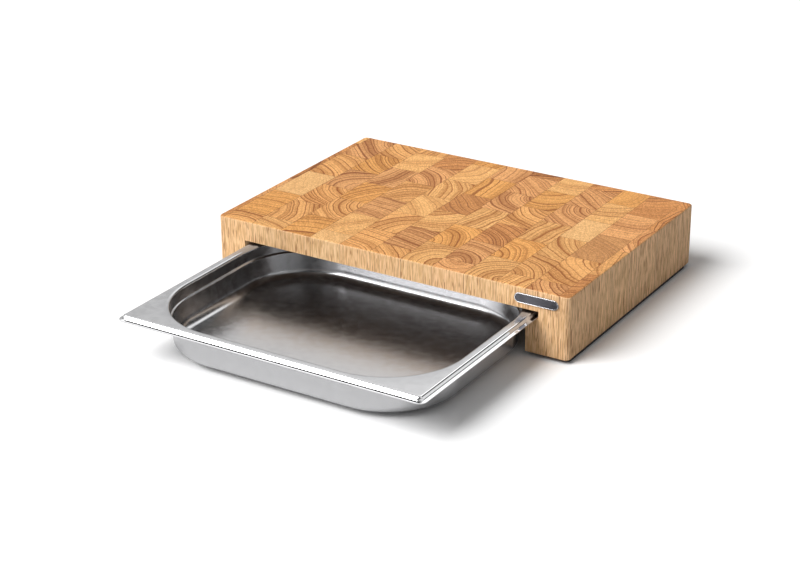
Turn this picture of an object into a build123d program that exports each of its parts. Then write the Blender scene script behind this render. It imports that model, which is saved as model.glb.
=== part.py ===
from build123d import *
import os

# A block of end-grain wood with a channel milled through it from below. A pressed tray of the
# 1/2 gastronorm size hangs by its rim in two grooves and slides out at the front.
#
# Millimetres, +Z up. X runs along the block's long side and Y from the front to the back.
# The floor is z = 0. The origin is the middle of the whole, with the tray pulled out by TRAY_PULL.

# ---- block
BLOCK_WIDTH = 390.0
BLOCK_DEPTH = 270.0
BLOCK_HEIGHT = 63.0
UPRIGHT_CORNER_R = 5.0
TOP_EDGE_R = 1.8
BOTTOM_EDGE_R = 1.0

# ---- glue-up: rows run front to back, and the staves of a row stand on end, in running bond
ROW_WIDTH = 34.2
RIPPED_ROW_WIDTH = 30.3
RIPPED_ROW = 5  # rows out from the middle, on the right, to the one ripped narrower
LONG_ROW = 5  # rows out from the middle where the longer staves start
STAVE_LENGTH = 51.3
LONG_STAVE_LENGTH = 62.4
FIRST_GLUE_LINE = 22.7  # from the front face, in the middle row and every second one
FIRST_GLUE_LINE_BETWEEN = 49.5  # in the rows between those
FIRST_LONG_GLUE_LINE = 24.0
FIRST_LONG_GLUE_LINE_OUTSIDE = 59.0
LEAST_OFFCUT = 4.0  # a narrower remnant at the block's side or end stays part of its neighbour

# ---- channel and the grooves that carry the tray's rim
CHANNEL_WIDTH = 301.6
GROOVE_DEPTH = 12.9
GROOVE_FLOOR = 35.6  # above the block's underside
GROOVE_CEILING = 42.5
GROOVE_STOP = 4.0  # wood left at the back end of each groove

# ---- tray
TRAY_LENGTH = 325.0
TRAY_WIDTH = 265.0
TRAY_HEIGHT = 40.0
SHEET = 0.8
LIP_WIDTH = 2.0
LIP_CORNER_R = 8.0
SKIRT_SPREAD = 1.5  # how far the skirt leans out on its way down
RIM_HEIGHT = 4.8  # from the lip's underside to the top of the flange
FLANGE_WIDTH = 6.5
FLANGE_CORNER_R = 1.6
FLANGE_EDGE_R = 0.7
MOUTH_CORNER_R = 78.0
MOUTH_SETBACK = 3.0  # from the flange's inner line to the upright wall
MOUTH_EDGE_R = 2.7
SHOULDER_DEPTH = 12.0
SHOULDER_STEP = 1.8
SHOULDER_DROP = 1.2
SHOULDER_R = 1.4
WALL_LEAN = 1.6  # how far the wall comes in from the shoulder to the floor
FLOOR_SETBACK = 12.0  # from the wall's foot to the flat floor
FLOOR_EDGE_R = 10.8
TRAY_SEAT_GAP = 0.25  # between the lip and the groove's floor
TRAY_PULL = 201.0  # how far the tray stands out of the block's front face

# ---- rubber strips and their screws
STRIP_HEIGHT = 4.0
STRIP_WIDTH = 30.0
STRIP_LENGTH = 254.0
STRIP_SIDE_INSET = 2.0
STRIP_CORNER_R = 3.0
STRIP_SCREWS = 3
STRIP_SCREW_SPACING = 105.0
SCREW_R = 1.75
SCREW_LENGTH = 14.0  # below the head
SCREW_HEAD_R = 3.5
SCREW_HEAD_HEIGHT = 1.6
SCREW_DRIVE_R = 1.1
SCREW_DRIVE_DEPTH = 1.0
SCREW_RECESS = 0.9  # from the strip's underside to the head
SCREW_POINT = 2.0
SCREW_POINT_R = 0.6
SCREW_PLAY = 0.05
SCREW_HEAD_PLAY = 0.3

# ---- nameplate
PLATE_LENGTH = 45.0
PLATE_HEIGHT = 9.6
PLATE_THICKNESS = 1.2
PLATE_RIM = 0.9
PLATE_FIELD_DEPTH = 0.4
PLATE_FROM_RIGHT_SIDE = 33.5  # from the block's side to the plate's middle
PLATE_FROM_TOP = 10.3  # from the cutting face to the plate's middle
STUD_R = 0.8
STUD_LENGTH = 5.0
STUD_SPACING = 32.0
STUD_PLAY = 0.05

# ---- places that follow from the sizes
FRONT = (TRAY_PULL - BLOCK_DEPTH) / 2
BACK = FRONT + BLOCK_DEPTH
MID_DEPTH = (FRONT + BACK) / 2
UNDERSIDE = STRIP_HEIGHT
TOP = UNDERSIDE + BLOCK_HEIGHT
GROOVE_FLOOR_Z = UNDERSIDE + GROOVE_FLOOR
GROOVE_CEILING_Z = UNDERSIDE + GROOVE_CEILING
RIM_TOP_Z = GROOVE_FLOOR_Z + TRAY_SEAT_GAP + RIM_HEIGHT
TRAY_MIDDLE_Y = FRONT - TRAY_PULL + TRAY_WIDTH / 2
RIM_STEP = LIP_WIDTH + SKIRT_SPREAD
FLANGE_LENGTH = TRAY_LENGTH - 2 * RIM_STEP
FLANGE_DEPTH = TRAY_WIDTH - 2 * RIM_STEP
MOUTH_LENGTH = FLANGE_LENGTH - 2 * FLANGE_WIDTH
MOUTH_DEPTH = FLANGE_DEPTH - 2 * FLANGE_WIDTH
STRIP_MIDDLE_X = BLOCK_WIDTH / 2 - STRIP_SIDE_INSET - STRIP_WIDTH / 2
PLATE_X = BLOCK_WIDTH / 2 - PLATE_FROM_RIGHT_SIDE
PLATE_Z = TOP - PLATE_FROM_TOP
OVERCUT = 1.0  # how far a cutting tool runs past a face


def row_edges():
    """X of each glue line between rows, from the block's left side to its right side."""
    half = BLOCK_WIDTH / 2
    edges = [-ROW_WIDTH / 2]
    while edges[0] - ROW_WIDTH > -half + LEAST_OFFCUT:
        edges.insert(0, edges[0] - ROW_WIDTH)
    row, edge = 0, -ROW_WIDTH / 2
    while edge < half - LEAST_OFFCUT:
        if edge > edges[-1]:
            edges.append(edge)
        edge += RIPPED_ROW_WIDTH if row == RIPPED_ROW - 1 else ROW_WIDTH
        row += 1
    return [-half] + edges + [half]


def glue_lines(row):
    """Y of each glue line in a row, from the front face to the back face."""
    odd = row % 2 == 1
    if abs(row) < LONG_ROW:
        pitch = STAVE_LENGTH
        first = FIRST_GLUE_LINE_BETWEEN if odd else FIRST_GLUE_LINE
    else:
        pitch = LONG_STAVE_LENGTH
        first = FIRST_LONG_GLUE_LINE if odd else FIRST_LONG_GLUE_LINE_OUTSIDE
    lines = [FRONT]
    place = FRONT + first
    while place < BACK - LEAST_OFFCUT:
        lines.append(place)
        place += pitch
    return lines + [BACK]


def plain_block():
    """The whole block with its edges rounded, before anything is cut."""
    block = Pos(0, MID_DEPTH, UNDERSIDE + BLOCK_HEIGHT / 2) * Box(BLOCK_WIDTH, BLOCK_DEPTH, BLOCK_HEIGHT)
    block = fillet(block.edges().filter_by(Axis.Z), UPRIGHT_CORNER_R)
    block = fillet(block.faces().sort_by(Axis.Z)[-1].edges(), TOP_EDGE_R)
    return fillet(block.faces().sort_by(Axis.Z)[0].edges(), BOTTOM_EDGE_R)


def channel_cut():
    """The channel, open below and at both ends, with a groove in each side for the tray's rim."""
    depth = BLOCK_DEPTH + 2 * OVERCUT
    height = GROOVE_CEILING + OVERCUT
    channel = Pos(0, MID_DEPTH, GROOVE_CEILING_Z - height / 2) * Box(CHANNEL_WIDTH, depth, height)
    groove_length = BLOCK_DEPTH - GROOVE_STOP + OVERCUT
    grooves = Pos(
        0,
        BACK - GROOVE_STOP - groove_length / 2,
        (GROOVE_FLOOR_Z + GROOVE_CEILING_Z) / 2,
    ) * Box(CHANNEL_WIDTH + 2 * GROOVE_DEPTH, groove_length, GROOVE_CEILING - GROOVE_FLOOR)
    return channel + grooves


def screw_places():
    """X and Y of each strip screw, with its side: -1 on the left, 1 on the right."""
    first = -(STRIP_SCREWS - 1) / 2 * STRIP_SCREW_SPACING
    return [
        (side, side * STRIP_MIDDLE_X, MID_DEPTH + first + n * STRIP_SCREW_SPACING)
        for side in (-1, 1)
        for n in range(STRIP_SCREWS)
    ]


def upright_rod(radius, low, high):
    """A round rod on the Z axis from one height to another."""
    return Pos(0, 0, (low + high) / 2) * Cylinder(radius, high - low)


def fastener_holes():
    """Pilot holes for the strip screws and for the nameplate's studs."""
    head_top = SCREW_RECESS + SCREW_HEAD_HEIGHT
    bottom = UNDERSIDE - OVERCUT
    top = head_top + SCREW_LENGTH + SCREW_PLAY
    holes = [Pos(x, y, 0) * upright_rod(SCREW_R + SCREW_PLAY, bottom, top) for _, x, y in screw_places()]
    return holes + [stud(STUD_R + STUD_PLAY, STUD_LENGTH + STUD_PLAY, side) for side in (-1, 1)]


def stud(radius, length, side):
    """A round bar that runs from the block's front face into the wood."""
    place = Pos(PLATE_X + side * STUD_SPACING / 2, FRONT + length / 2, PLATE_Z)
    return place * Rot(90, 0, 0) * Cylinder(radius, length)


def staves(block, left, right, lines):
    """The separate staves of one row: the block's own wood between two glue lines each way."""
    pieces = []
    for near, far in zip(lines, lines[1:]):
        space = Box(right - left, far - near, BLOCK_HEIGHT)
        cell = Pos((left + right) / 2, (near + far) / 2, UNDERSIDE + BLOCK_HEIGHT / 2) * space
        pieces += (block & cell).solids()
    return pieces


def basin_outline():
    """The pressed wall's section. X runs in from the mouth, Y up from the top of the flange."""
    wall_x = MOUTH_SETBACK
    shelf_x = wall_x + SHOULDER_STEP
    foot_x = shelf_x + WALL_LEAN
    floor_y = SHEET - TRAY_HEIGHT
    return FilletPolyline(
        (0, 0),
        (wall_x, 0),
        (wall_x, -SHOULDER_DEPTH),
        (shelf_x, -SHOULDER_DEPTH - SHOULDER_DROP),
        (foot_x, floor_y),
        (foot_x + FLOOR_SETBACK, floor_y),
        radius=[MOUTH_EDGE_R, SHOULDER_R, SHOULDER_R, FLOOR_EDGE_R],
    )


def basin_section():
    """The wall's section as a strip of sheet, below and outside the inside face."""
    loop = basin_outline().wire().offset_2d(-SHEET, side=Side.RIGHT, closed=True)
    return make_face(loop)


def basin():
    """The tray's wall and floor: a quarter of the wall follows the mouth, then it is mirrored."""
    half_x, half_y = MOUTH_LENGTH / 2, MOUTH_DEPTH / 2
    bend = MOUTH_CORNER_R
    front = Line((0, -half_y), (half_x - bend, -half_y))
    corner = RadiusArc((half_x - bend, -half_y), (half_x, bend - half_y), -bend)
    side = Line((half_x, bend - half_y), (half_x, 0))
    section = Plane(origin=(0, -half_y, 0), x_dir=(0, 1, 0), z_dir=(1, 0, 0)) * basin_section()
    quarter = sweep(section, path=Wire([front.edge(), corner.edge(), side.edge()]))
    half = quarter + mirror(quarter, Plane.YZ)
    wall = half + mirror(half, Plane.XZ)
    reach = MOUTH_SETBACK + SHOULDER_STEP + WALL_LEAN + FLOOR_SETBACK
    floor = RectangleRounded(MOUTH_LENGTH - 2 * reach, MOUTH_DEPTH - 2 * reach, bend - reach)
    return wall + Pos(0, 0, -TRAY_HEIGHT) * extrude(floor, SHEET)


def skirt_solid(grow, low, high):
    """A solid that spreads from the flange's outline to the lip's inner edge on its way down."""
    top = RectangleRounded(
        FLANGE_LENGTH + 2 * grow, FLANGE_DEPTH + 2 * grow, FLANGE_CORNER_R + grow
    )
    spread = grow + SKIRT_SPREAD
    foot = RectangleRounded(
        FLANGE_LENGTH + 2 * spread, FLANGE_DEPTH + 2 * spread, LIP_CORNER_R - LIP_WIDTH + grow
    )
    return loft([Pos(0, 0, high) * top, Pos(0, 0, low) * foot])


def rim():
    """The flat flange round the mouth, the skirt that hangs from its edge and the lip below."""
    lip_top = SHEET - RIM_HEIGHT
    outside = skirt_solid(0, lip_top - SHEET, 0)
    top_edges = outside.faces().sort_by(Axis.Z)[-1].edges()
    outside = fillet(top_edges, FLANGE_EDGE_R)
    hollow = skirt_solid(-SHEET, lip_top - SHEET, -SHEET)
    mouth = Pos(0, 0, -SHEET) * extrude(RectangleRounded(MOUTH_LENGTH, MOUTH_DEPTH, MOUTH_CORNER_R), SHEET)
    lip_outline = RectangleRounded(TRAY_LENGTH, TRAY_WIDTH, LIP_CORNER_R)
    lip = Pos(0, 0, lip_top - SHEET) * extrude(lip_outline, SHEET)
    return (outside + lip) - hollow - mouth


def tray():
    """The pressed tray, in place in its grooves."""
    return Pos(0, TRAY_MIDDLE_Y, RIM_TOP_Z) * (rim() + basin())


def rubber_strip(side):
    """One anti-slip strip under a leg, with a stepped hole for each screw."""
    place = Pos(side * STRIP_MIDDLE_X, MID_DEPTH, STRIP_HEIGHT / 2)
    strip = place * Box(STRIP_WIDTH, STRIP_LENGTH, STRIP_HEIGHT)
    strip = fillet(strip.edges().filter_by(Axis.Z), STRIP_CORNER_R)
    head_top = SCREW_RECESS + SCREW_HEAD_HEIGHT
    for screw_side, x, y in screw_places():
        if screw_side == side:
            strip -= Pos(x, y, 0) * upright_rod(SCREW_HEAD_R + SCREW_HEAD_PLAY, -OVERCUT, head_top)
            strip -= Pos(x, y, 0) * upright_rod(SCREW_R + SCREW_PLAY, 0, STRIP_HEIGHT + OVERCUT)
    return strip


def strip_screw():
    """A cheese-head screw, head down, with a hexagonal socket and a pointed end."""
    head_top = SCREW_RECESS + SCREW_HEAD_HEIGHT
    head = upright_rod(SCREW_HEAD_R, SCREW_RECESS, head_top)
    socket = Pos(0, 0, SCREW_RECESS) * extrude(RegularPolygon(SCREW_DRIVE_R, 6), SCREW_DRIVE_DEPTH)
    shank_end = head_top + SCREW_LENGTH - SCREW_POINT
    shank = upright_rod(SCREW_R, head_top, shank_end)
    point = Pos(0, 0, shank_end + SCREW_POINT / 2) * Cone(SCREW_R, SCREW_POINT_R, SCREW_POINT)
    return head - socket + shank + point


def nameplate():
    """A bare oval plate with a raised rim, and two studs behind it that are pressed into the wood."""
    outline = SlotOverall(PLATE_LENGTH, PLATE_HEIGHT)
    field = SlotOverall(PLATE_LENGTH - 2 * PLATE_RIM, PLATE_HEIGHT - 2 * PLATE_RIM)
    face = Plane(origin=(PLATE_X, FRONT, PLATE_Z), x_dir=(1, 0, 0), z_dir=(0, -1, 0))
    plate = extrude(face * outline, PLATE_THICKNESS)
    sunk = face.offset(PLATE_THICKNESS - PLATE_FIELD_DEPTH)
    plate -= extrude(sunk * field, PLATE_FIELD_DEPTH + OVERCUT)
    return plate + stud(STUD_R, STUD_LENGTH, -1) + stud(STUD_R, STUD_LENGTH, 1)


def write(name, pieces):
    """Writes one node, as one solid or as a group of separate solids."""
    shape = pieces[0] if len(pieces) == 1 else Compound(children=pieces)
    export_step(shape, os.path.join("parts", name + ".step"))
    print(name, "solids", len(pieces), "volume", round(sum(piece.volume for piece in pieces)))


def row_name(row):
    """The node's name of a row, which is counted outwards from the middle one."""
    if row == 0:
        return "stave_row_middle"
    side = "left" if row < 0 else "right"
    return f"stave_row_{side}_{abs(row)}"


def write_block():
    """Cuts the block, then writes its rows from left to right."""
    block = plain_block() - channel_cut()
    for hole in fastener_holes():
        block -= hole
    edges = row_edges()
    rows_left = sum(1 for edge in edges if edge < 0) - 1
    for row, (left, right) in enumerate(zip(edges, edges[1:]), start=-rows_left):
        write(row_name(row), staves(block, left, right, glue_lines(row)))


def write_fittings():
    """Writes the tray, the strips with their screws, and the nameplate."""
    write("tray", tray().solids())
    for side, word in ((-1, "left"), (1, "right")):
        write(f"rubber_strip_{word}", rubber_strip(side).solids())
        screws = [Pos(x, y, 0) * strip_screw() for s, x, y in screw_places() if s == side]
        write(f"strip_screws_{word}", [solid for screw in screws for solid in screw.solids()])
    write("nameplate", nameplate().solids())


os.makedirs("parts", exist_ok=True)
write_block()
write_fittings()
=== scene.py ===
"""Looks of a cutting block with a slide-out tray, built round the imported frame.

The block is glued up from end-grain staves, each with its own growth rings. The tray is pressed
sheet steel, satin inside and polished at its rim. Everything is in metres in the frame's own
axes; sizes that read better in millimetres are written so and multiplied by MM.
"""

import logging
import math
import random
from dataclasses import dataclass, replace
from enum import Enum
from functools import reduce
from typing import Sequence

import bmesh
import bpy
import numpy as np
from mathutils import Matrix, Quaternion, Vector

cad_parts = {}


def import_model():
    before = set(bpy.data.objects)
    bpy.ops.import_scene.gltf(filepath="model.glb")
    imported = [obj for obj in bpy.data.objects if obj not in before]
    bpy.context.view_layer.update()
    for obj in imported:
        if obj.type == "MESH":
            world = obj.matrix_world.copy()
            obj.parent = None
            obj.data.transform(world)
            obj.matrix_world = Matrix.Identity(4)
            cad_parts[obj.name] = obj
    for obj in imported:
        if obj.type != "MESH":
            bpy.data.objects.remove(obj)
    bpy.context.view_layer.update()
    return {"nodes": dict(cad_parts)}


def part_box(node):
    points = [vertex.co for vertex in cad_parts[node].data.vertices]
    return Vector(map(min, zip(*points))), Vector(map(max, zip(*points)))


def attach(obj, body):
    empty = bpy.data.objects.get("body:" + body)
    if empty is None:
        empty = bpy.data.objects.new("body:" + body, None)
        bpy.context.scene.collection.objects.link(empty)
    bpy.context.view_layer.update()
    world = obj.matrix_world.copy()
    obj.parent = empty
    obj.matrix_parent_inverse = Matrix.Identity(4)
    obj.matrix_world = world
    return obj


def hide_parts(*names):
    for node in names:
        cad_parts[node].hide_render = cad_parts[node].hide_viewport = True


LOG = logging.getLogger("cutting_block")
MM = 0.001
FLOAT, VECTOR = "NodeSocketFloat", "NodeSocketVector"
GEOMETRY, MATERIAL = "NodeSocketGeometry", "NodeSocketMaterial"
Colour = tuple[float, float, float]
Point = tuple[float, float, float]
Range = tuple[float, float]
Station = tuple[float, float, float, float]
Material = bpy.types.Material
Mesh = bpy.types.Mesh
Node = bpy.types.Node
Outputs = bpy.types.NodeOutputs
Piece = bpy.types.Object
Socket = bpy.types.NodeSocket
Tree = bpy.types.NodeTree


# ---- colours


def linear(*screen: int) -> Colour:
    """A colour as a screen shows it, 0 to 255, in the linear values that materials use."""
    shares = [value / 255 for value in screen]
    return tuple(s / 12.92 if s <= 0.04045 else ((s + 0.055) / 1.055) ** 2.4 for s in shares)


class Tone(Enum):
    """The tones that the staves come in, as their early wood and their darker late wood."""

    CREAM = (linear(249, 200, 140), linear(192, 130, 77))
    STRAW = (linear(249, 194, 129), linear(172, 108, 57))
    HONEY = (linear(247, 187, 122), linear(160, 98, 50))
    AMBER = (linear(243, 180, 109), linear(155, 92, 43))
    ROSE = (linear(238, 178, 121), linear(152, 91, 50))
    CHESTNUT = (linear(221, 157, 100), linear(132, 75, 38))
    UMBER = (linear(210, 155, 103), linear(144, 93, 53))


# ---- node trees


class Graph:
    """A node tree under construction, for materials, shader groups and geometry alike."""

    def __init__(self, tree: Tree) -> None:
        """Starts on an empty or existing tree."""
        self.tree = tree

    def add(self, kind: str, **settings: object) -> Node:
        """Adds a node.

        Args:
            kind: Blender's name of the node type.
            settings: properties of the node, by name.

        Returns:
            The new node.
        """
        node = self.tree.nodes.new(kind)
        for name, value in settings.items():
            setattr(node, name, value)
        return node

    def feed(self, socket: Socket, value: object) -> None:
        """Links an input to an output socket, or gives it a constant.

        Args:
            socket: the input.
            value: a socket, a constant, or None to leave the input as it is.
        """
        if isinstance(value, Socket):
            self.tree.links.new(value, socket)
        elif value is not None:
            socket.default_value = value

    def feed_all(self, node: Node, inputs: dict[str, object]) -> None:
        """Feeds a node's inputs by name."""
        for name, value in inputs.items():
            self.feed(node.inputs[name], value)

    def fed(self, kind: str, inputs: dict[str, object], **settings: object) -> Node:
        """Adds a node and feeds its inputs by name.

        Args:
            kind: Blender's name of the node type.
            inputs: what goes into each named input.
            settings: properties of the node, by name.

        Returns:
            The new node.
        """
        node = self.add(kind, **settings)
        self.feed_all(node, inputs)
        return node

    def operate(self, kind: str, operation: str, values: Sequence[object]) -> Node:
        """Adds a node of arithmetic.

        Args:
            kind: Blender's name of the node type.
            operation: what the node does.
            values: sockets or constants for its inputs, in order.

        Returns:
            The new node.
        """
        node = self.add(kind, operation=operation)
        for socket, value in zip(node.inputs, values):
            self.feed(socket, value)
        return node

    def math(self, operation: str, *values: object) -> Socket:
        """A Math node's result."""
        return self.operate("ShaderNodeMath", operation, values).outputs[0]

    def times(self, *values: object) -> Socket:
        """The product of two or more numbers."""
        return reduce(lambda first, second: self.math("MULTIPLY", first, second), values)

    def vector_math(self, operation: str, *values: object) -> Socket:
        """A Vector Math node's result, which is a number for LENGTH."""
        node = self.operate("ShaderNodeVectorMath", operation, values)
        return node.outputs["Value" if operation == "LENGTH" else "Vector"]

    def vector(self, x: object, y: object, z: object) -> Socket:
        """Three numbers or sockets as one vector."""
        return self.fed("ShaderNodeCombineXYZ", {"X": x, "Y": y, "Z": z}).outputs[0]

    def parts(self, vector: Socket) -> Outputs:
        """A vector's X, Y and Z outputs."""
        return self.fed("ShaderNodeSeparateXYZ", {"Vector": vector}).outputs

    def step(self, value: object, low: float, high: float, to_low: float = 0, to_high: float = 1) -> Socket:
        """A smooth step from to_low to to_high while value goes from low to high."""
        inputs = {"Value": value, "From Min": low, "From Max": high, "To Min": to_low, "To Max": to_high}
        return self.fed("ShaderNodeMapRange", inputs, interpolation_type="SMOOTHSTEP").outputs[0]

    def ramp(self, share: object, ends: Range) -> Socket:
        """A number that goes smoothly from one end of a range to the other."""
        return self.step(share, 0.0, 1.0, *ends)

    def mix(self, share: object, first: object, second: object) -> Socket:
        """A number between two; share is the second's part."""
        inputs = {"Factor": share, "A": first, "B": second}
        return self.fed("ShaderNodeMix", inputs, data_type="FLOAT").outputs[0]

    def noise(self, place: object, scale: float = 1.0, detail: float = 2.0) -> Node:
        """A noise texture over a vector."""
        inputs = {"Vector": place, "Scale": scale, "Detail": detail}
        return self.fed("ShaderNodeTexNoise", inputs)

    def noise_along(self, place: object, scale: float) -> Socket:
        """Noise over one number, from 0 to 1."""
        inputs = {"W": place, "Scale": scale, "Detail": 1.0}
        return self.fed("ShaderNodeTexNoise", inputs, noise_dimensions="1D").outputs[0]

    def bump(self, height: object, strength: float, distance: float) -> Socket:
        """The normal of a fine relief, whose distance is in millimetres."""
        inputs = {"Height": height, "Strength": strength, "Distance": distance * MM}
        return self.fed("ShaderNodeBump", inputs).outputs[0]

    def blend(self, share: object, first: object, second: object, how: str = "MIX") -> Socket:
        """Mixes two colours.

        Args:
            share: the second colour's part.
            first: a socket or a colour.
            second: a socket or a colour.
            how: Blender's name of the way of mixing.

        Returns:
            The mixed colour.
        """
        node = self.add("ShaderNodeMix", data_type="RGBA", blend_type=how)
        for name, value in (("Factor_Float", share), ("A_Color", first), ("B_Color", second)):
            socket = next(s for s in node.inputs if s.identifier == name)
            self.feed(socket, (*value, 1.0) if isinstance(value, tuple) else value)
        return next(s for s in node.outputs if s.identifier == "Result_Color")

    def attribute(self, name: str) -> Outputs:
        """The outputs that read a named attribute of the piece in a material."""
        return self.add("ShaderNodeAttribute", attribute_name=name).outputs

    def group(self, tree: Tree, inputs: dict[str, object]) -> Outputs:
        """Places a shader node group.

        Args:
            tree: the group.
            inputs: what goes into each named input.

        Returns:
            The group's outputs.
        """
        node = self.add("ShaderNodeGroup", node_tree=tree)
        self.feed_all(node, inputs)
        return node.outputs

    def chain(self, geometry: Socket, *stages: tuple[str, dict[str, object]]) -> Socket:
        """Passes geometry through nodes in turn.

        Args:
            geometry: what goes into the first node.
            stages: each node's type, and what its other inputs get by name.

        Returns:
            What comes out of the last node.
        """
        for kind, inputs in stages:
            geometry = self.fed(kind, {"Geometry": geometry, **inputs}).outputs[0]
        return geometry


def new_group(
    name: str, kind: str, inputs: dict[str, tuple[str, object]], outputs: dict[str, str]
) -> tuple[Graph, Outputs, bpy.types.NodeInputs]:
    """Makes an empty node group with its sockets.

    Args:
        name: the group's name.
        kind: "ShaderNodeTree" or "GeometryNodeTree".
        inputs: each input's socket type and default by name; a default of None sets none.
        outputs: each output's socket type by name.

    Returns:
        The graph of the group, its input node's outputs and its output node's inputs.
    """
    tree = bpy.data.node_groups.new(name, kind)
    for title, (socket_type, default) in inputs.items():
        socket = tree.interface.new_socket(title, in_out="INPUT", socket_type=socket_type)
        if default is not None:
            socket.default_value = default
    for title, socket_type in outputs.items():
        tree.interface.new_socket(title, in_out="OUTPUT", socket_type=socket_type)
    graph = Graph(tree)
    return graph, graph.add("NodeGroupInput").outputs, graph.add("NodeGroupOutput").inputs


def new_material(name: str) -> tuple[Material, Graph, Node]:
    """Makes a material that holds one Principled shader.

    Args:
        name: the material's name.

    Returns:
        The material, its graph and its shader node.
    """
    material = bpy.data.materials.new(name)
    material.use_nodes = True
    graph = Graph(material.node_tree)
    material.node_tree.nodes.clear()
    shader = graph.add("ShaderNodeBsdfPrincipled")
    output = graph.add("ShaderNodeOutputMaterial")
    graph.feed(output.inputs["Surface"], shader.outputs[0])
    return material, graph, shader


# ---- finishes


@dataclass(frozen=True)
class GrowthRings:
    """The wood of a trunk whose pith stands upright. Scales are in cycles per metre or per ring."""

    bends: Sequence[tuple[Point, float]] = (((22, 22, 5), 16 * MM), ((170, 170, 16), 1.3 * MM))
    uneven: Range = (0.45, 1.3)  # scale and reach, in rings
    late_wood: Range = (0.58, 0.86)  # where in a ring its dark line starts and is full
    slow_rise: Range = (0.05, 0.28)  # where the ring starts to darken, and how far it gets
    line_end: float = 0.90
    line_strength: Range = (0.45, 1.35)
    fine_lines: Range = (3.4, 0.22)  # scale and strength
    band_scale: float = 0.28
    rays: Range = (85.0, 0.55)  # scale round the pith and along the radius
    pores: Range = (900, 70)  # scale across the trunk and along it, as in the next two
    dashes: Range = (840, 60)
    specks: Range = (700, 26)

    def group(self) -> Tree:
        """Builds the shader group, whose outputs are masks from 0 to 1, or a little over for Ring.

        Returns:
            The group.
        """
        graph, given, result = new_group(
            "growth_rings",
            "ShaderNodeTree",
            {
                "Place": (VECTOR, None),
                "Pith": (VECTOR, None),
                "Pitch": (FLOAT, 4.2 * MM),
                "Seed": (FLOAT, 0.0),
            },
            {name: FLOAT for name in ("Ring", "Band", "Ray", "Pore", "Dash", "Speck")},
        )
        place, seed = given["Place"], given["Seed"]
        bent = place
        for scale, reach in self.bends:
            spot = graph.vector_math("MULTIPLY", place, scale)
            spot = graph.vector_math("ADD", spot, graph.vector(seed, seed, 0.0))
            colour = graph.noise(spot, detail=1.0).outputs["Color"]
            centred = graph.vector_math("SUBTRACT", colour, (0.5, 0.5, 0.5))
            shift = graph.vector_math("MULTIPLY", centred, (reach, reach, 0.0))
            bent = graph.vector_math("ADD", bent, shift)
        flat = graph.vector_math("MULTIPLY", graph.vector_math("SUBTRACT", bent, given["Pith"]), (1, 1, 0))
        turns = graph.math("DIVIDE", graph.vector_math("LENGTH", flat), given["Pitch"])

        seeded = graph.math("ADD", turns, graph.times(seed, 7.0))
        scale, reach = self.uneven
        uneven = graph.times(graph.math("SUBTRACT", graph.noise_along(seeded, scale), 0.5), reach)
        count = graph.math("ADD", seeded, uneven)
        share = graph.math("FRACT", count)
        start, height = self.slow_rise
        late = graph.step(share, *self.late_wood)
        rise = graph.step(share, start, self.line_end, 0.0, height)
        fall = graph.step(share, self.line_end, 1.0, 1.0, 0.0)
        inputs = {"W": graph.math("FLOOR", count)}
        weight = graph.fed("ShaderNodeTexWhiteNoise", inputs, noise_dimensions="1D")
        strength = graph.ramp(weight.outputs["Value"], self.line_strength)
        scale, height = self.fine_lines
        fine = graph.step(graph.noise_along(seeded, scale), 0.42, 0.62, 0.0, height)
        line = graph.times(graph.math("MAXIMUM", late, rise), fall, strength)
        graph.feed(result["Ring"], graph.math("ADD", line, fine))
        graph.feed(result["Band"], graph.step(graph.noise_along(seeded, self.band_scale), 0.3, 0.7))

        away = graph.parts(flat)
        angle = graph.math("ARCTAN2", away["Y"], away["X"])
        spot = graph.vector(graph.times(angle, self.rays[0]), graph.times(turns, self.rays[1]), seed)
        graph.feed(result["Ray"], graph.step(graph.noise(spot).outputs[0], 0.35, 0.65))
        grains = {
            "Pore": (self.pores, 1.0, 0.56, 0.66),
            "Dash": (self.dashes, 3.0, 0.39, 0.61),
            "Speck": (self.specks, 3.0, 0.36, 0.64),
        }
        for name, ((across, along), detail, low, high) in grains.items():
            spot = graph.vector_math("MULTIPLY", place, (across, across, along))
            graph.feed(result[name], graph.step(graph.noise(spot, detail=detail).outputs[0], low, high))
        return graph.tree


def metal_grain_group() -> Tree:
    """The fine tooth and the slow waviness of sheet metal, as a height and a mottle mask.

    Returns:
        The shader group.
    """
    graph, given, result = new_group(
        "metal_grain",
        "ShaderNodeTree",
        {
            "Place": (VECTOR, None),
            "Tooth": (FLOAT, 2500.0),
            "Wave": (FLOAT, 30.0),
            "Wave share": (FLOAT, 0.6),
        },
        {"Height": FLOAT, "Mottle": FLOAT},
    )
    drawn = graph.vector_math("MULTIPLY", given["Place"], (0.25, 1.0, 1.0))
    tooth = graph.noise(drawn, given["Tooth"]).outputs[0]
    wave = graph.noise(given["Place"], given["Wave"]).outputs[0]
    graph.feed(result["Height"], graph.mix(given["Wave share"], tooth, wave))
    mottle = graph.noise(given["Place"], 140.0, 3.0).outputs[0]
    graph.feed(result["Mottle"], graph.step(mottle, 0.3, 0.7))
    return graph.tree


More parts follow.
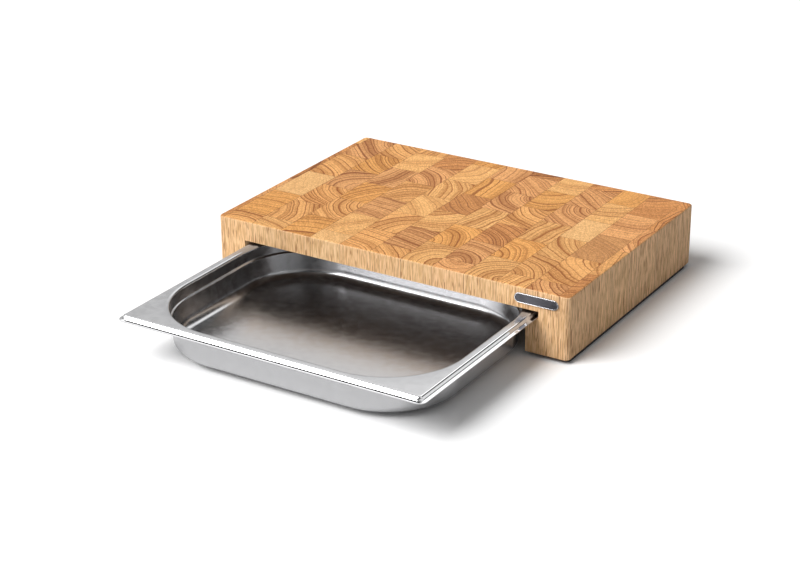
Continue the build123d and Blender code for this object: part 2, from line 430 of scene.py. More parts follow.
@dataclass(frozen=True)
class WoodFinish:
    """Oiled end-grain hardwood: deep and warm on the end grain, paler on the sides."""

    rings: Tree
    side_tint: Colour = linear(238, 203, 160)
    side_tint_share: float = 0.72
    side_dark: Colour = (0.80, 0.73, 0.62)
    side_pale: Colour = (1.07, 1.07, 1.07)
    # The dashes' dark end on faces that look along X: darker and greyer than side_dark, which paints shade
    # over the grain.
    x_side_shaded_dash: Colour = (0.68, 0.64, 0.58)
    # Painted reflection shade: the grey-brown that the wood is mixed toward where a glossy ray sees it.
    painted_reflection_shade: Colour = (0.50, 0.47, 0.44)
    # Painted shade: faces that look downwards, such as the channel's ceiling and the block's bottom, are
    # multiplied by this colour.
    underside_painted_shade: Colour = (0.20, 0.17, 0.15)
    specks: tuple[Colour, Colour] = ((0.82, 0.77, 0.70), (1.12, 1.12, 1.11))
    rays: tuple[Colour, Colour] = ((0.89, 0.86, 0.81), (1.07, 1.07, 1.06))
    band_middle: float = 0.40
    band_share: float = 0.62
    ring_share: Range = (1.0, 0.5)  # on the end grain and on the sides, as is the next
    pore_share: Range = (0.16, 0.62)
    glue_half_width: float = 0.36 * MM
    glue_share: float = 0.65
    glue_dark: Colour = linear(112, 68, 36)
    # How far the wood is mixed toward that painted reflection shade in glossy rays.
    reflection_shade_share: float = 0.65
    roughness: Range = (0.68, 0.56)  # of early and late wood
    specular: float = 0.22

    def material(self) -> Material:
        """Builds the material that every stave shares; the staves' attributes tell them apart.

        Returns:
            The material.
        """
        material, graph, shader = new_material("oiled_end_grain")
        coordinates = graph.add("ShaderNodeTexCoord").outputs
        facts = graph.parts(graph.attribute("ring_facts")["Vector"])
        pith = graph.attribute("pith")["Vector"]
        inputs = {"Place": coordinates["Object"], "Pith": pith, "Pitch": facts["X"], "Seed": facts["Z"]}
        grain = graph.group(self.rings, inputs)
        seam = self.glue_line(graph, coordinates["Object"])
        colour = self.colour(graph, grain, facts["Y"], graph.parts(coordinates["Normal"]), seam)
        relief = graph.math("ADD", grain["Ring"], graph.times(grain["Pore"], 1.5))
        relief = graph.math("SUBTRACT", 1.0, graph.math("ADD", relief, graph.times(seam, 2.0)))
        inputs = {
            "Base Color": colour,
            "Roughness": graph.ramp(grain["Ring"], self.roughness),
            "Specular IOR Level": self.specular,
            "Normal": graph.bump(relief, 0.3, 0.06),
        }
        graph.feed_all(shader, inputs)
        return material

    def colour(
        self, graph: Graph, grain: Outputs, contrast: Socket, facing: Outputs, seam: Socket
    ) -> Socket:
        """The wood's colour.

        Args:
            graph: the material's graph.
            grain: the masks of the growth rings.
            contrast: how strong the stave's rings are.
            facing: the parts of the piece's own normal.
            seam: a mask that is 1 on the seams.

        Returns:
            The colour.
        """
        early, late = (graph.attribute(f"{wood}_wood")["Color"] for wood in ("early", "late"))
        side = graph.step(graph.math("ABSOLUTE", facing["Z"]), 0.5, 0.9, 1.0, 0.0)
        band = graph.times(graph.math("SUBTRACT", grain["Band"], self.band_middle), self.band_share)
        rings = graph.math("ADD", grain["Ring"], band)
        share = graph.times(rings, contrast, graph.ramp(side, self.ring_share))
        colour = graph.blend(share, early, late)
        colour = graph.blend(graph.times(side, self.side_tint_share), colour, self.side_tint)
        speck = graph.blend(grain["Speck"], *self.specks)
        speck = graph.blend(1.0, speck, graph.blend(grain["Ray"], *self.rays), "MULTIPLY")
        # The dashes are grain. On faces that look along X their dark end is darker and greyer, which paints
        # shade onto those sides.
        dark = graph.blend(graph.math("ABSOLUTE", facing["X"]), self.side_dark, self.x_side_shaded_dash)
        dash = graph.blend(grain["Dash"], dark, self.side_pale)
        colour = graph.blend(1.0, colour, graph.blend(side, speck, dash), "MULTIPLY")
        pore_share = graph.times(grain["Pore"], graph.ramp(side, self.pore_share))
        colour = graph.blend(pore_share, colour, graph.blend(0.5, late, self.glue_dark))
        colour = graph.blend(graph.times(seam, self.glue_share), colour, self.glue_dark)
        # Painted reflection shade: the wood is darker and greyer only where a glossy ray sees it, so the
        # tray's reflection of it renders dark.
        in_gloss = graph.add("ShaderNodeLightPath").outputs["Is Glossy Ray"]
        colour = graph.blend(graph.times(in_gloss, self.reflection_shade_share), colour, self.painted_reflection_shade)
        # Painted shade: faces that look downwards are darkened, standing in for the shade in the channel
        # and under the block.
        raw = graph.blend(1.0, colour, self.underside_painted_shade, "MULTIPLY")
        return graph.blend(graph.step(facing["Z"], -0.5, -0.9), colour, raw)

    def glue_line(self, graph: Graph, place: Socket) -> Socket:
        """A mask that is 1 on the seams between staves.

        Args:
            graph: the material's graph.
            place: the shaded point in the piece's own coordinates.

        Returns:
            The mask.
        """
        low, high = (graph.attribute(f"cell_{end}")["Vector"] for end in ("low", "high"))
        nearest = None
        for first, second in ((place, low), (high, place)):
            away = graph.parts(graph.vector_math("SUBTRACT", first, second))
            here = graph.math("MINIMUM", away["X"], away["Y"])
            nearest = here if nearest is None else graph.math("MINIMUM", nearest, here)
        return graph.step(nearest, 0.3 * self.glue_half_width, self.glue_half_width, 1.0, 0.0)


@dataclass(frozen=True)
class MetalFinish:
    """Metal that is bright where the attribute "satin" is 0 and dull where it is 1.

    Each pair of values is for the bright and the dull part, or for the mottle's two ends.
    """

    grain: Tree
    name: str
    colours: tuple[Colour, Colour]
    roughness: Range
    tooth: float = 1500.0
    wave: float = 14.0
    wave_share: float = 0.93
    shade: Range = (0.96, 1.0)
    spread: Range = (-0.02, 0.03)
    relief: Range = (0.4, 0.1)  # strength, and distance in millimetres

    def material(self) -> Material:
        """Builds the material.

        Returns:
            The material.
        """
        material, graph, shader = new_material(self.name)
        place = graph.add("ShaderNodeTexCoord").outputs["Object"]
        inputs = {"Place": place, "Tooth": self.tooth, "Wave": self.wave, "Wave share": self.wave_share}
        grain = graph.group(self.grain, inputs)
        satin = graph.attribute("satin")["Fac"]
        shade = graph.ramp(grain["Mottle"], self.shade)
        spread = graph.ramp(grain["Mottle"], self.spread)
        tint = graph.blend(satin, *self.colours)
        inputs = {
            "Base Color": graph.blend(1.0, tint, graph.vector(shade, shade, shade), "MULTIPLY"),
            "Metallic": 1.0,
            "Roughness": graph.math("ADD", graph.ramp(satin, self.roughness), spread),
            "Normal": graph.bump(grain["Height"], *self.relief),
        }
        graph.feed_all(shader, inputs)
        return material


@dataclass(frozen=True)
class RubberFinish:
    """Dull black rubber with a fine skin."""

    colour: Colour = (0.012, 0.012, 0.013)
    dust_colour: Colour = (0.10, 0.10, 0.10)
    roughness: Range = (0.78, 0.88)  # clean and dusty

    def material(self) -> Material:
        """Builds the material.

        Returns:
            The material.
        """
        material, graph, shader = new_material("black_rubber")
        place = graph.add("ShaderNodeTexCoord").outputs["Object"]
        dust = graph.step(graph.noise(place, 60.0, 3.0).outputs[0], 0.45, 0.75)
        inputs = {
            "Base Color": graph.blend(graph.times(dust, 0.12), self.colour, self.dust_colour),
            "Roughness": graph.ramp(dust, self.roughness),
            "Normal": graph.bump(graph.noise(place, 1400.0).outputs[0], 0.4, 0.08),
        }
        graph.feed_all(shader, inputs)
        return material


# ---- meshes


def new_piece(name: str, data: bpy.types.ID) -> Piece:
    """Puts a mesh, a light or a camera into the scene as an object at the origin.

    Args:
        name: the object's name.
        data: its mesh, light or camera.

    Returns:
        The object.
    """
    piece = bpy.data.objects.new(name, data)
    bpy.context.scene.collection.objects.link(piece)
    return piece


def finished(draft: Piece) -> Piece:
    """Turns an object with live modifiers into a plain mesh of the same name.

    Args:
        draft: the object, which is removed.

    Returns:
        The plain object.
    """
    name = draft.name
    graph = bpy.context.evaluated_depsgraph_get()
    mesh = bpy.data.meshes.new_from_object(
        draft.evaluated_get(graph), preserve_all_data_layers=True, depsgraph=graph
    )
    bpy.data.objects.remove(draft)
    mesh.name = name
    return new_piece(name, mesh)


def run_tree(piece: Piece, tree: Tree, values: dict[str, object]) -> None:
    """Adds a geometry tree to a piece and sets its inputs by their identifiers.

    Args:
        piece: the object that gets the modifier.
        tree: the geometry tree.
        values: each input's value by the name that the tree gives it.
    """
    modifier = piece.modifiers.new(tree.name, "NODES")
    modifier.node_group = tree
    for item in tree.interface.items_tree:
        if item.item_type == "SOCKET" and item.in_out == "INPUT" and item.name in values:
            modifier[item.identifier] = values[item.name]


@dataclass(frozen=True)
class Bend:
    """A corner of a pressed profile: how far in from the outline, how high, and how round."""

    inset: float
    height: float
    corner: float
    radius: float = 0.0
    satin: float = 1.0


def rounded_profile(bends: Sequence[Bend], steps: int = 8) -> list[Station]:
    """Rounds the corners of a profile with arcs.

    Args:
        bends: the profile's corners, in order.
        steps: how many straight pieces an arc is made of.

    Returns:
        Inset, outline corner radius, height and satin share of each station.
    """
    stations = []
    for before, bend, after in zip([None, *bends], bends, [*bends[1:], None]):
        if before is None or after is None or not bend.radius:
            stations.append((bend.inset, bend.corner, bend.height, bend.satin))
            continue
        here = Vector((bend.inset, bend.height))
        arms = [Vector((other.inset, other.height)) - here for other in (before, after)]
        half = arms[0].angle(arms[1]) / 2
        reach = bend.radius / math.tan(half)
        inward = (arms[0].normalized() + arms[1].normalized()).normalized()
        middle = here + inward * bend.radius / math.sin(half)
        spokes = [here + arm.normalized() * reach - middle for arm in arms]
        sweep = spokes[0].angle_signed(spokes[1])
        first, last = (
            bend.corner + (other.corner - bend.corner) * reach / arm.length
            for other, arm in zip((before, after), arms)
        )
        for share in (number / steps for number in range(steps + 1)):
            point = middle + Matrix.Rotation(-sweep * share, 2) @ spokes[0]
            stations.append((point.x, first + (last - first) * share, point.y, bend.satin))
    return stations


def press_tree() -> Tree:
    """A geometry tree that presses a profile all round a rectangle with round corners.

    The input's vertices are the profile's stations: X is the inset, Y the corner radius and Z
    the height. Each becomes one ring, and a last ring without width closes the middle.

    Returns:
        The tree.
    """
    graph, given, result = new_group(
        "press_round_rectangle",
        "GeometryNodeTree",
        {
            "Geometry": (GEOMETRY, None),
            "Length": (FLOAT, 0.3),
            "Width": (FLOAT, 0.2),
            "Arc Steps": ("NodeSocketInt", 24),
            "Place": (VECTOR, None),
            "Turn": (VECTOR, None),
            "Material": (MATERIAL, None),
        },
        {"Geometry": GEOMETRY},
    )
    size = graph.fed("GeometryNodeAttributeDomainSize", {"Geometry": given["Geometry"]}, component="MESH")
    rings = size.outputs["Point Count"]
    per_corner = graph.math("ADD", given["Arc Steps"], 1.0)
    columns = graph.math("ADD", graph.times(per_corner, 4.0), 1.0)
    grid = graph.fed("GeometryNodeMeshGrid", {"Vertices X": columns, "Vertices Y": rings})

    def split(number: Socket, size: Socket) -> tuple[Socket, Socket]:
        """A whole number as how often size goes into it, and what is left."""
        times = graph.math("FLOOR", graph.math("DIVIDE", graph.math("ADD", number, 0.5), size))
        return times, graph.math("SUBTRACT", number, graph.times(times, size))

    column, ring = split(graph.add("GeometryNodeInputIndex").outputs[0], rings)
    quarter, step = split(column, per_corner)
    share = graph.math("DIVIDE", step, given["Arc Steps"])
    angle = graph.times(graph.math("ADD", quarter, share), math.pi / 2)
    middle_angle = graph.times(graph.math("ADD", quarter, 0.5), math.pi / 2)

    def sampled(value: Socket, kind: str) -> Socket:
        """A value of the profile's station that this ring comes from."""
        inputs = {"Geometry": given["Geometry"], "Value": value, "Index": ring}
        return graph.fed("GeometryNodeSampleIndex", inputs, data_type=kind).outputs[0]

    station = graph.parts(sampled(graph.add("GeometryNodeInputPosition").outputs[0], "FLOAT_VECTOR"))
    satin = graph.fed("GeometryNodeInputNamedAttribute", {"Name": "satin"}, data_type="FLOAT").outputs[0]

    def side(extent: Socket, wave: str) -> Socket:
        """The place along one axis.

        Args:
            extent: the rectangle's extent along it.
            wave: COSINE for X and SINE for Y.

        Returns:
            The place, from the rectangle's middle.
        """
        reach = graph.math("SUBTRACT", graph.math("DIVIDE", extent, 2.0), station["X"])
        toward = graph.math("SIGN", graph.math(wave, middle_angle))
        straight = graph.times(toward, graph.math("SUBTRACT", reach, station["Y"]))
        return graph.math("ADD", straight, graph.times(station["Y"], graph.math(wave, angle)))

    spot = graph.vector(side(given["Length"], "COSINE"), side(given["Width"], "SINE"), station["Z"])
    shell = graph.chain(
        grid.outputs["Mesh"],
        ("GeometryNodeSetPosition", {"Position": spot}),
        ("GeometryNodeStoreNamedAttribute", {"Name": "satin", "Value": sampled(satin, "FLOAT")}),
        ("GeometryNodeMergeByDistance", {"Distance": 1e-6}),
        ("GeometryNodeTransform", {"Translation": given["Place"], "Rotation": given["Turn"]}),
        ("GeometryNodeSetShadeSmooth", {"Shade Smooth": True}),
        ("GeometryNodeRealizeInstances", {}),
        ("GeometryNodeSetMaterial", {"Material": given["Material"]}),
    )
    graph.feed(result["Geometry"], shell)
    return graph.tree


def line_up_tree() -> Tree:
    """A geometry tree that sets copies of its input in a line, at even steps.

    Returns:
        The tree.
    """
    graph, given, result = new_group(
        "line_up",
        "GeometryNodeTree",
        {
            "Geometry": (GEOMETRY, None),
            "Count": ("NodeSocketInt", 3),
            "First": (VECTOR, None),
            "Step": (VECTOR, None),
            "Material": (MATERIAL, None),
        },
        {"Geometry": GEOMETRY},
    )
    inputs = {"Count": given["Count"], "Start Location": given["First"], "Offset": given["Step"]}
    points = graph.fed("GeometryNodeMeshLine", inputs)
    inputs = {"Points": points.outputs[0], "Instance": given["Geometry"]}
    copies = graph.chain(
        graph.fed("GeometryNodeInstanceOnPoints", inputs).outputs[0],
        ("GeometryNodeRealizeInstances", {}),
        ("GeometryNodeSetMaterial", {"Material": given["Material"]}),
    )
    graph.feed(result["Geometry"], copies)
    return graph.tree


def profile_draft(name: str, stations: Sequence[Station]) -> Piece:
    """A draft object whose vertices are a profile's stations, for the press tree.

    Args:
        name: the piece's name.
        stations: inset, corner radius and height in millimetres, and the satin share.

    Returns:
        The draft.
    """
    mesh = bpy.data.meshes.new(name)
    mesh.from_pydata([(x * MM, y * MM, z * MM) for x, y, z, _ in stations], [], [])
    mesh.attributes.new("satin", "FLOAT", "POINT").data.foreach_set("value", [s[3] for s in stations])
    return new_piece(name, mesh)


def smooth_by_angle(piece: Piece, degrees: float) -> None:
    """Shades a mesh smooth, but for edges where its faces meet at more than an angle.

    Args:
        piece: the object of the mesh.
        degrees: the angle.
    """
    mesh = piece.data
    mesh.polygons.foreach_set("use_smooth", [True] * len(mesh.polygons))
    mesh.set_sharp_from_angle(angle=math.radians(degrees))


def weight_normals(piece: Piece) -> Piece:
    """Shades a piece's flat faces flat and leaves the turn to its narrow ones."""
    piece.modifiers.new("flat_faces_first", "WEIGHTED_NORMAL").keep_sharp = True
    return finished(piece)


def ring_stack(rings: Sequence[Sequence[Point]]) -> Mesh:
    """A closed skin through rings of equal count; the first and last are capped.

    Args:
        rings: the rings' points, each ring the same way round.

    Returns:
        The mesh.
    """
    shell = bmesh.new()
    rows = [[shell.verts.new(point) for point in ring] for ring in rings]
    for low, high in zip(rows, rows[1:]):
        for corner in zip(low, low[1:] + low[:1], high[1:] + high[:1], high):
            shell.faces.new(corner)
    shell.faces.new(rows[0][::-1])
    shell.faces.new(rows[-1])
    bmesh.ops.recalc_face_normals(shell, faces=shell.faces)
    mesh = bpy.data.meshes.new("ring_stack")
    shell.to_mesh(mesh)
    shell.free()
    return mesh


# ---- the wooden block


@dataclass(frozen=True)
class StaveLook:
    """How one stave was cut: its tone, where the pith lies and how strong its rings are.

    The pith's place is in millimetres, X from the block's middle and Y from its front face.
    """

    tone: Tone
    pith_x: float
    pith_y: float
    contrast: float = 1.0
    pitch: float = 4.2


# The looks of the staves with plain marks, by row from the middle and place from the front.
NOTABLE = {
    (-6, 2): (Tone.CHESTNUT, -260, 150),
    (-5, 0): (Tone.HONEY, -170, -52, 1.0, 5.5),
    (-5, 2): (Tone.CREAM, -230, 90, 0.25),
    (-5, 3): (Tone.HONEY, -208, 108, 0.9, 4.6),
    (-5, 4): (Tone.ROSE, -115, 292, 1.1),
    (-4, 0): (Tone.STRAW, -150, -60, 0.7, 5.0),
    (-4, 1): (Tone.HONEY, -205, 18, 1.0, 4.4),
    (-4, 2): (Tone.HONEY, -92, 152, 1.0, 4.0),
    (-4, 3): (Tone.ROSE, -108, 132, 0.8, 8.0),
    (-3, 0): (Tone.AMBER, -66, -75, 0.8, 6.5),
    (-3, 1): (Tone.HONEY, -68, 106, 1.0, 4.0),
    (-3, 2): (Tone.AMBER, -20, 86, 0.6, 6.0),
    (-3, 3): (Tone.ROSE, -192, 196, 1.0, 5.0),
    (-3, 4): (Tone.STRAW, -150, 320, 0.5),
    (-2, 0): (Tone.CREAM, -120, -30, 0.35),
    (-2, 1): (Tone.STRAW, -20, 10, 0.5),
    (-2, 2): (Tone.ROSE, -92, -70, 0.7, 6.0),
    (-2, 3): (Tone.HONEY, -46, 122, 0.9, 5.0),
    (-2, 4): (Tone.ROSE, -98, 168, 1.0, 3.6),
    (-2, 5): (Tone.CHESTNUT, -30, 200, 0.7, 7.0),
    (-1, 0): (Tone.HONEY, -62, -66, 0.8, 5.0),
    (-1, 1): (Tone.HONEY, 26, 38, 0.8, 5.0),
    (-1, 2): (Tone.STRAW, -100, 60, 0.5),
    (-1, 3): (Tone.STRAW, -112, 138, 1.1, 3.6),
    (-1, 4): (Tone.STRAW, -84, 250, 0.5, 9.0),
    (0, 0): (Tone.HONEY, -50, -32, 0.9),
    (0, 1): (Tone.ROSE, -14, -52, 1.1, 4.6),
    (0, 2): (Tone.STRAW, -26, 152, 0.9, 4.8),
    (0, 3): (Tone.CHESTNUT, 60, 230, 0.6),
    (0, 4): (Tone.AMBER, -110, 200, 0.9, 7.0),
    (1, 0): (Tone.STRAW, 54, 6, 0.9, 5.0),
    (1, 1): (Tone.AMBER, 14, 52, 0.8, 4.8),
    (1, 2): (Tone.STRAW, -150, 150, 1.0, 5.2),
    (1, 3): (Tone.ROSE, 62, 206, 1.0, 4.2),
    (1, 4): (Tone.ROSE, -40, 130, 0.8),
    (1, 5): (Tone.CHESTNUT, 90, 150, 0.9, 5.0),
    (2, 0): (Tone.ROSE, 64, 22, 0.7, 5.0),
    (2, 1): (Tone.ROSE, 63, 20, 1.0, 4.4),
    (2, 2): (Tone.CHESTNUT, 34, 48, 1.0, 3.6),
    (2, 3): (Tone.HONEY, 96, 192, 1.0, 5.0),
    (2, 4): (Tone.AMBER, 44, 246, 0.7, 7.0),
    (4, 1): (Tone.HONEY, 104, 0, 0.9, 5.0),
    (4, 2): (Tone.STRAW, 178, 142, 0.9, 4.6),
    (4, 3): (Tone.CREAM, 60, 120, 0.2),
    (4, 4): (Tone.STRAW, 118, 262, 0.6, 5.5),
    (5, 0): (Tone.ROSE, 214, 44, 1.1, 4.6),
    (5, 1): (Tone.HONEY, 208, 102, 0.9, 7.0),
    (5, 2): (Tone.UMBER, 120, 60, 0.4),
    (5, 3): (Tone.ROSE, 150, 264, 0.6, 6.5),
    (5, 4): (Tone.CHESTNUT, 130, 320, 0.5),
}
TWIN_ROWS = {3: 1}  # a row whose staves come from the same planks as another row's


@dataclass
class ChoppingBlock:
    """The glued-up block. Each row of staves is a piece, and every stave in it is a closed solid."""

    wood: Material
    seed: int = 7
    tone_spread: float = 0.06
    open_side: float = 20 * MM  # how far a cell is widened at the block's outside, where no seam is
    common_tones: Sequence[Tone] = tuple(
        Tone[name] for name in ("HONEY", "STRAW", "HONEY", "AMBER", "ROSE", "CHESTNUT")
    )
    random_pith: tuple[float, float] = (45.0, 130.0)

    def build(self, nodes: dict[str, Piece]) -> None:
        """Builds every row of staves over its node.

        Args:
            nodes: the frame's nodes by name.
        """
        rng = random.Random(self.seed)
        rows = [name for name in nodes if name.startswith("stave_row_")]
        rows.sort(key=lambda name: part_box(name)[0].x)
        boxes = [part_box(name) for name in rows]
        self.low = Vector(map(min, *[low for low, _ in boxes]))
        self.high = Vector(map(max, *[high for _, high in boxes]))
        middle = rows.index("stave_row_middle")
        for number, name in enumerate(rows):
            piece = self.row(name, nodes[name], number - middle, rng)
            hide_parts(name)
            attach(piece, "board")
            LOG.info("%s: %d triangles", piece.name, len(piece.data.polygons))

    def seams(self, mesh: Mesh) -> list[float]:
        """Y of each seam in a row: where faces of both directions lie in one plane.

        Args:
            mesh: the row's mesh.

        Returns:
            The places, with the row's two ends.
        """
        seen: dict[int, set[int]] = {}
        for polygon in mesh.polygons:
            if abs(polygon.normal.y) > 0.999:
                place = round(polygon.center.y / (0.01 * MM))
                seen.setdefault(place, set()).add(1 if polygon.normal.y > 0 else -1)
        inner = [place * 0.01 * MM for place, ways in seen.items() if len(ways) == 2]
        return [self.low.y, *sorted(inner), self.high.y]

    def look(self, row: int, number: int, centre: Vector, rng: random.Random) -> StaveLook:
        """The look of one stave: a chosen one, or one by the seeded rule.

        Args:
            row: the row, counted from the middle.
            number: the stave's place in the row, from the front.
            centre: the stave's middle.
            rng: the source of the seeded rule.

        Returns:
            The look.
        """
        angle, distance = rng.uniform(0, math.tau), rng.uniform(*self.random_pith)
        tone, contrast = rng.choice(self.common_tones), rng.uniform(0.35, 1.0)
        pitch = rng.uniform(3.8, 6.0)
        source = TWIN_ROWS.get(row, row)
        if (source, number) not in NOTABLE:
            x = centre.x / MM + distance * math.cos(angle)
            y = (centre.y - self.low.y) / MM + distance * math.sin(angle)
            return StaveLook(tone, x, y, contrast, pitch)
        chosen = StaveLook(*NOTABLE[source, number])
        shift = centre.x / MM * (1 - source / row) if source != row else 0.0
        return replace(chosen, pith_x=chosen.pith_x + shift)

    def row(self, node: str, source: Piece, row: int, rng: random.Random) -> Piece:
        """One row of staves, as closed solids that carry their own ring facts.

        Args:
            node: the node's name.
            source: the node's object.
            row: the row, counted from the middle.
            rng: the source of the seeded rule.

        Returns:
            The piece.
        """
        seams = self.seams(source.data)
        low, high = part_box(node)
        staves: list[dict[tuple[int, int, int], int]] = [{} for _ in seams[1:]]
        points: list[Vector] = []
        owners: list[int] = []
        faces: list[list[int]] = []
        for polygon in source.data.polygons:
            inside = polygon.center.y - polygon.normal.y * 0.1 * MM
            stave = next(n for n, seam in enumerate(seams[1:]) if inside < seam or n == len(seams) - 2)
            corners = []
            for vertex in polygon.vertices:
                place = source.data.vertices[vertex].co
                key = tuple(round(value / (0.001 * MM)) for value in place)
                if key not in staves[stave]:
                    staves[stave][key] = len(points)
                    points.append(place)
                    owners.append(stave)
                corners.append(staves[stave][key])
            if len(set(corners)) == 3:
                faces.append(corners)
        mesh = bpy.data.meshes.new(node)
        mesh.from_pydata(points, [], faces)
        mesh.materials.append(self.wood)
        ends = zip(seams, seams[1:])
        cells = [(Vector((low.x, near, 0)), Vector((high.x, far, 0))) for near, far in ends]
        looks = [self.look(row, n, (a + b) / 2, rng) for n, (a, b) in enumerate(cells)]
        self.store(mesh, owners, cells, looks, rng)
        piece = new_piece(node.replace("stave_row", "staves"), mesh)
        smooth_by_angle(piece, 28)
        return weight_normals(piece)

    def store(
        self,
        mesh: Mesh,
        owners: list[int],
        cells: list[tuple[Vector, Vector]],
        looks: list[StaveLook],
        rng: random.Random,
    ) -> None:
        """Writes each stave's facts to its vertices.

        Args:
            mesh: the row's mesh.
            owners: the stave that each vertex belongs to.
            cells: the lowest and highest corner of each stave.
            looks: the look of each stave.
            rng: the source of the small differences in tone.
        """
        facts: dict[str, list[Sequence[float]]] = {}

        def note(name: str, values: Sequence[float]) -> None:
            """Adds a stave's values to the fact of that name."""
            facts.setdefault(name, []).append(values)

        for (low, high), look in zip(cells, looks):
            note("pith", (look.pith_x * MM, self.low.y + look.pith_y * MM, 0.0))
            note("ring_facts", (look.pitch * MM, look.contrast, rng.uniform(0, 9)))
            note("cell_low", [self.widened(low, i, -1) for i in range(3)])
            note("cell_high", [self.widened(high, i, 1) for i in range(3)])
            shade = 1 + rng.uniform(-self.tone_spread, self.tone_spread)
            for name, tone in zip(("early_wood", "late_wood"), look.tone.value):
                note(name, (*(channel * shade for channel in tone), 1.0))
        for name, rows in facts.items():
            kind, key = ("FLOAT_COLOR", "color") if len(rows[0]) == 4 else ("FLOAT_VECTOR", "vector")
            attribute = mesh.attributes.new(name, kind, "POINT")
            attribute.data.foreach_set(key, np.array(rows, np.float32)[owners].ravel())

    def widened(self, corner: Vector, axis: int, way: int) -> float:
        """A cell's edge, moved outwards where it is the block's own outside.

        Args:
            corner: the cell's corner.
            axis: the axis across the edge.
            way: -1 for the lower edge and 1 for the upper one.

        Returns:
            The edge's place on the axis.
        """
        outside = (self.low if way < 0 else self.high)[axis]
        at_edge = abs(corner[axis] - outside) < 0.1 * MM
        return corner[axis] + way * self.open_side * at_edge


# ---- the tray


@dataclass
class PressedTray:
    """The pressed tray: a lip, a skirt, a flat flange and a round-cornered basin."""

    steel: Material
    press: Tree
    sheet: float = 0.8
    lip_drop: float = 4.0
    lip_slope: float = 0.35
    flange_inset: float = 4.6
    skirt_foot_inset: float = 3.3
    edge_radius: float = 1.7
    foot_radius: float = 1.2
    polished_strip: float = 1.3  # where the flange goes from polished to satin
    mouth_inset: float = 10.0
    mouth_corner: float = 78.0
    mouth_radius: float = 2.7
    shelf_depth: float = 12.0  # of the small step in the wall
    shelf_inset: float = 3.0
    shelf_width: float = 1.8
    shelf_slope: float = 1.2
    shelf_radius: float = 1.4
    wall_foot_inset: float = 6.4
    floor_radius: float = 10.8
    floor_inset: float = 19.0
    middle_inset: float = 132.5
    depth: float = 39.2
    arc_steps: int = 28

    def profile(self) -> list[Bend]:
        """The upper face of the sheet, from the lip's edge to the middle of the floor.

        Returns:
            The profile's corners.
        """

        def inner(inset: float, height: float, radius: float = 0.0) -> Bend:
            """A corner of the basin, whose outline keeps its distance to the mouth."""
            return Bend(self.mouth_inset + inset, height, self.mouth_corner - inset, radius)

        shelf_foot = self.shelf_inset + self.shelf_width
        return [
            Bend(0.0, -self.lip_drop, 8.0, satin=0.0),
            Bend(self.skirt_foot_inset, self.lip_slope - self.lip_drop, 5.3, self.foot_radius, satin=0.0),
            Bend(self.flange_inset, 0.0, 2.0, self.edge_radius, satin=0.0),
            Bend(self.flange_inset + self.polished_strip, 0.0, 3.0, satin=0.5),
            inner(-0.4, 0.0),
            inner(self.shelf_inset, 0.0, self.mouth_radius),
            inner(self.shelf_inset, -self.shelf_depth, self.shelf_radius),
            inner(shelf_foot, -self.shelf_depth - self.shelf_slope, self.shelf_radius),
            inner(self.wall_foot_inset, -self.depth, self.floor_radius),
            inner(self.floor_inset, -self.depth),
            Bend(self.middle_inset, -self.depth, 0.0),
        ]

    def build(self) -> None:
        """Builds the tray over its node."""
        low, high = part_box("tray")
        draft = profile_draft("pressed_tray", rounded_profile(self.profile()))
        values = {
            "Length": high.x - low.x,
            "Width": high.y - low.y,
            "Arc Steps": self.arc_steps,
            "Place": ((low.x + high.x) / 2, (low.y + high.y) / 2, high.z),
            "Turn": (0.0, 0.0, 0.0),
            "Material": self.steel,
        }
        run_tree(draft, self.press, values)
        solid = draft.modifiers.new("sheet", "SOLIDIFY")
        solid.thickness = self.sheet * MM
        solid.offset = -1.0
        solid.use_even_offset = True
        edge = draft.modifiers.new("raw_edge", "BEVEL")
        edge.width, edge.segments, edge.angle_limit = 0.15 * MM, 2, math.radians(60)
        piece = finished(draft)
        smooth_by_angle(piece, 40)
        piece = weight_normals(piece)
        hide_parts("tray")
        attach(piece, "tray")
        LOG.info("%s: %d faces", piece.name, len(piece.data.polygons))


# ---- the fittings


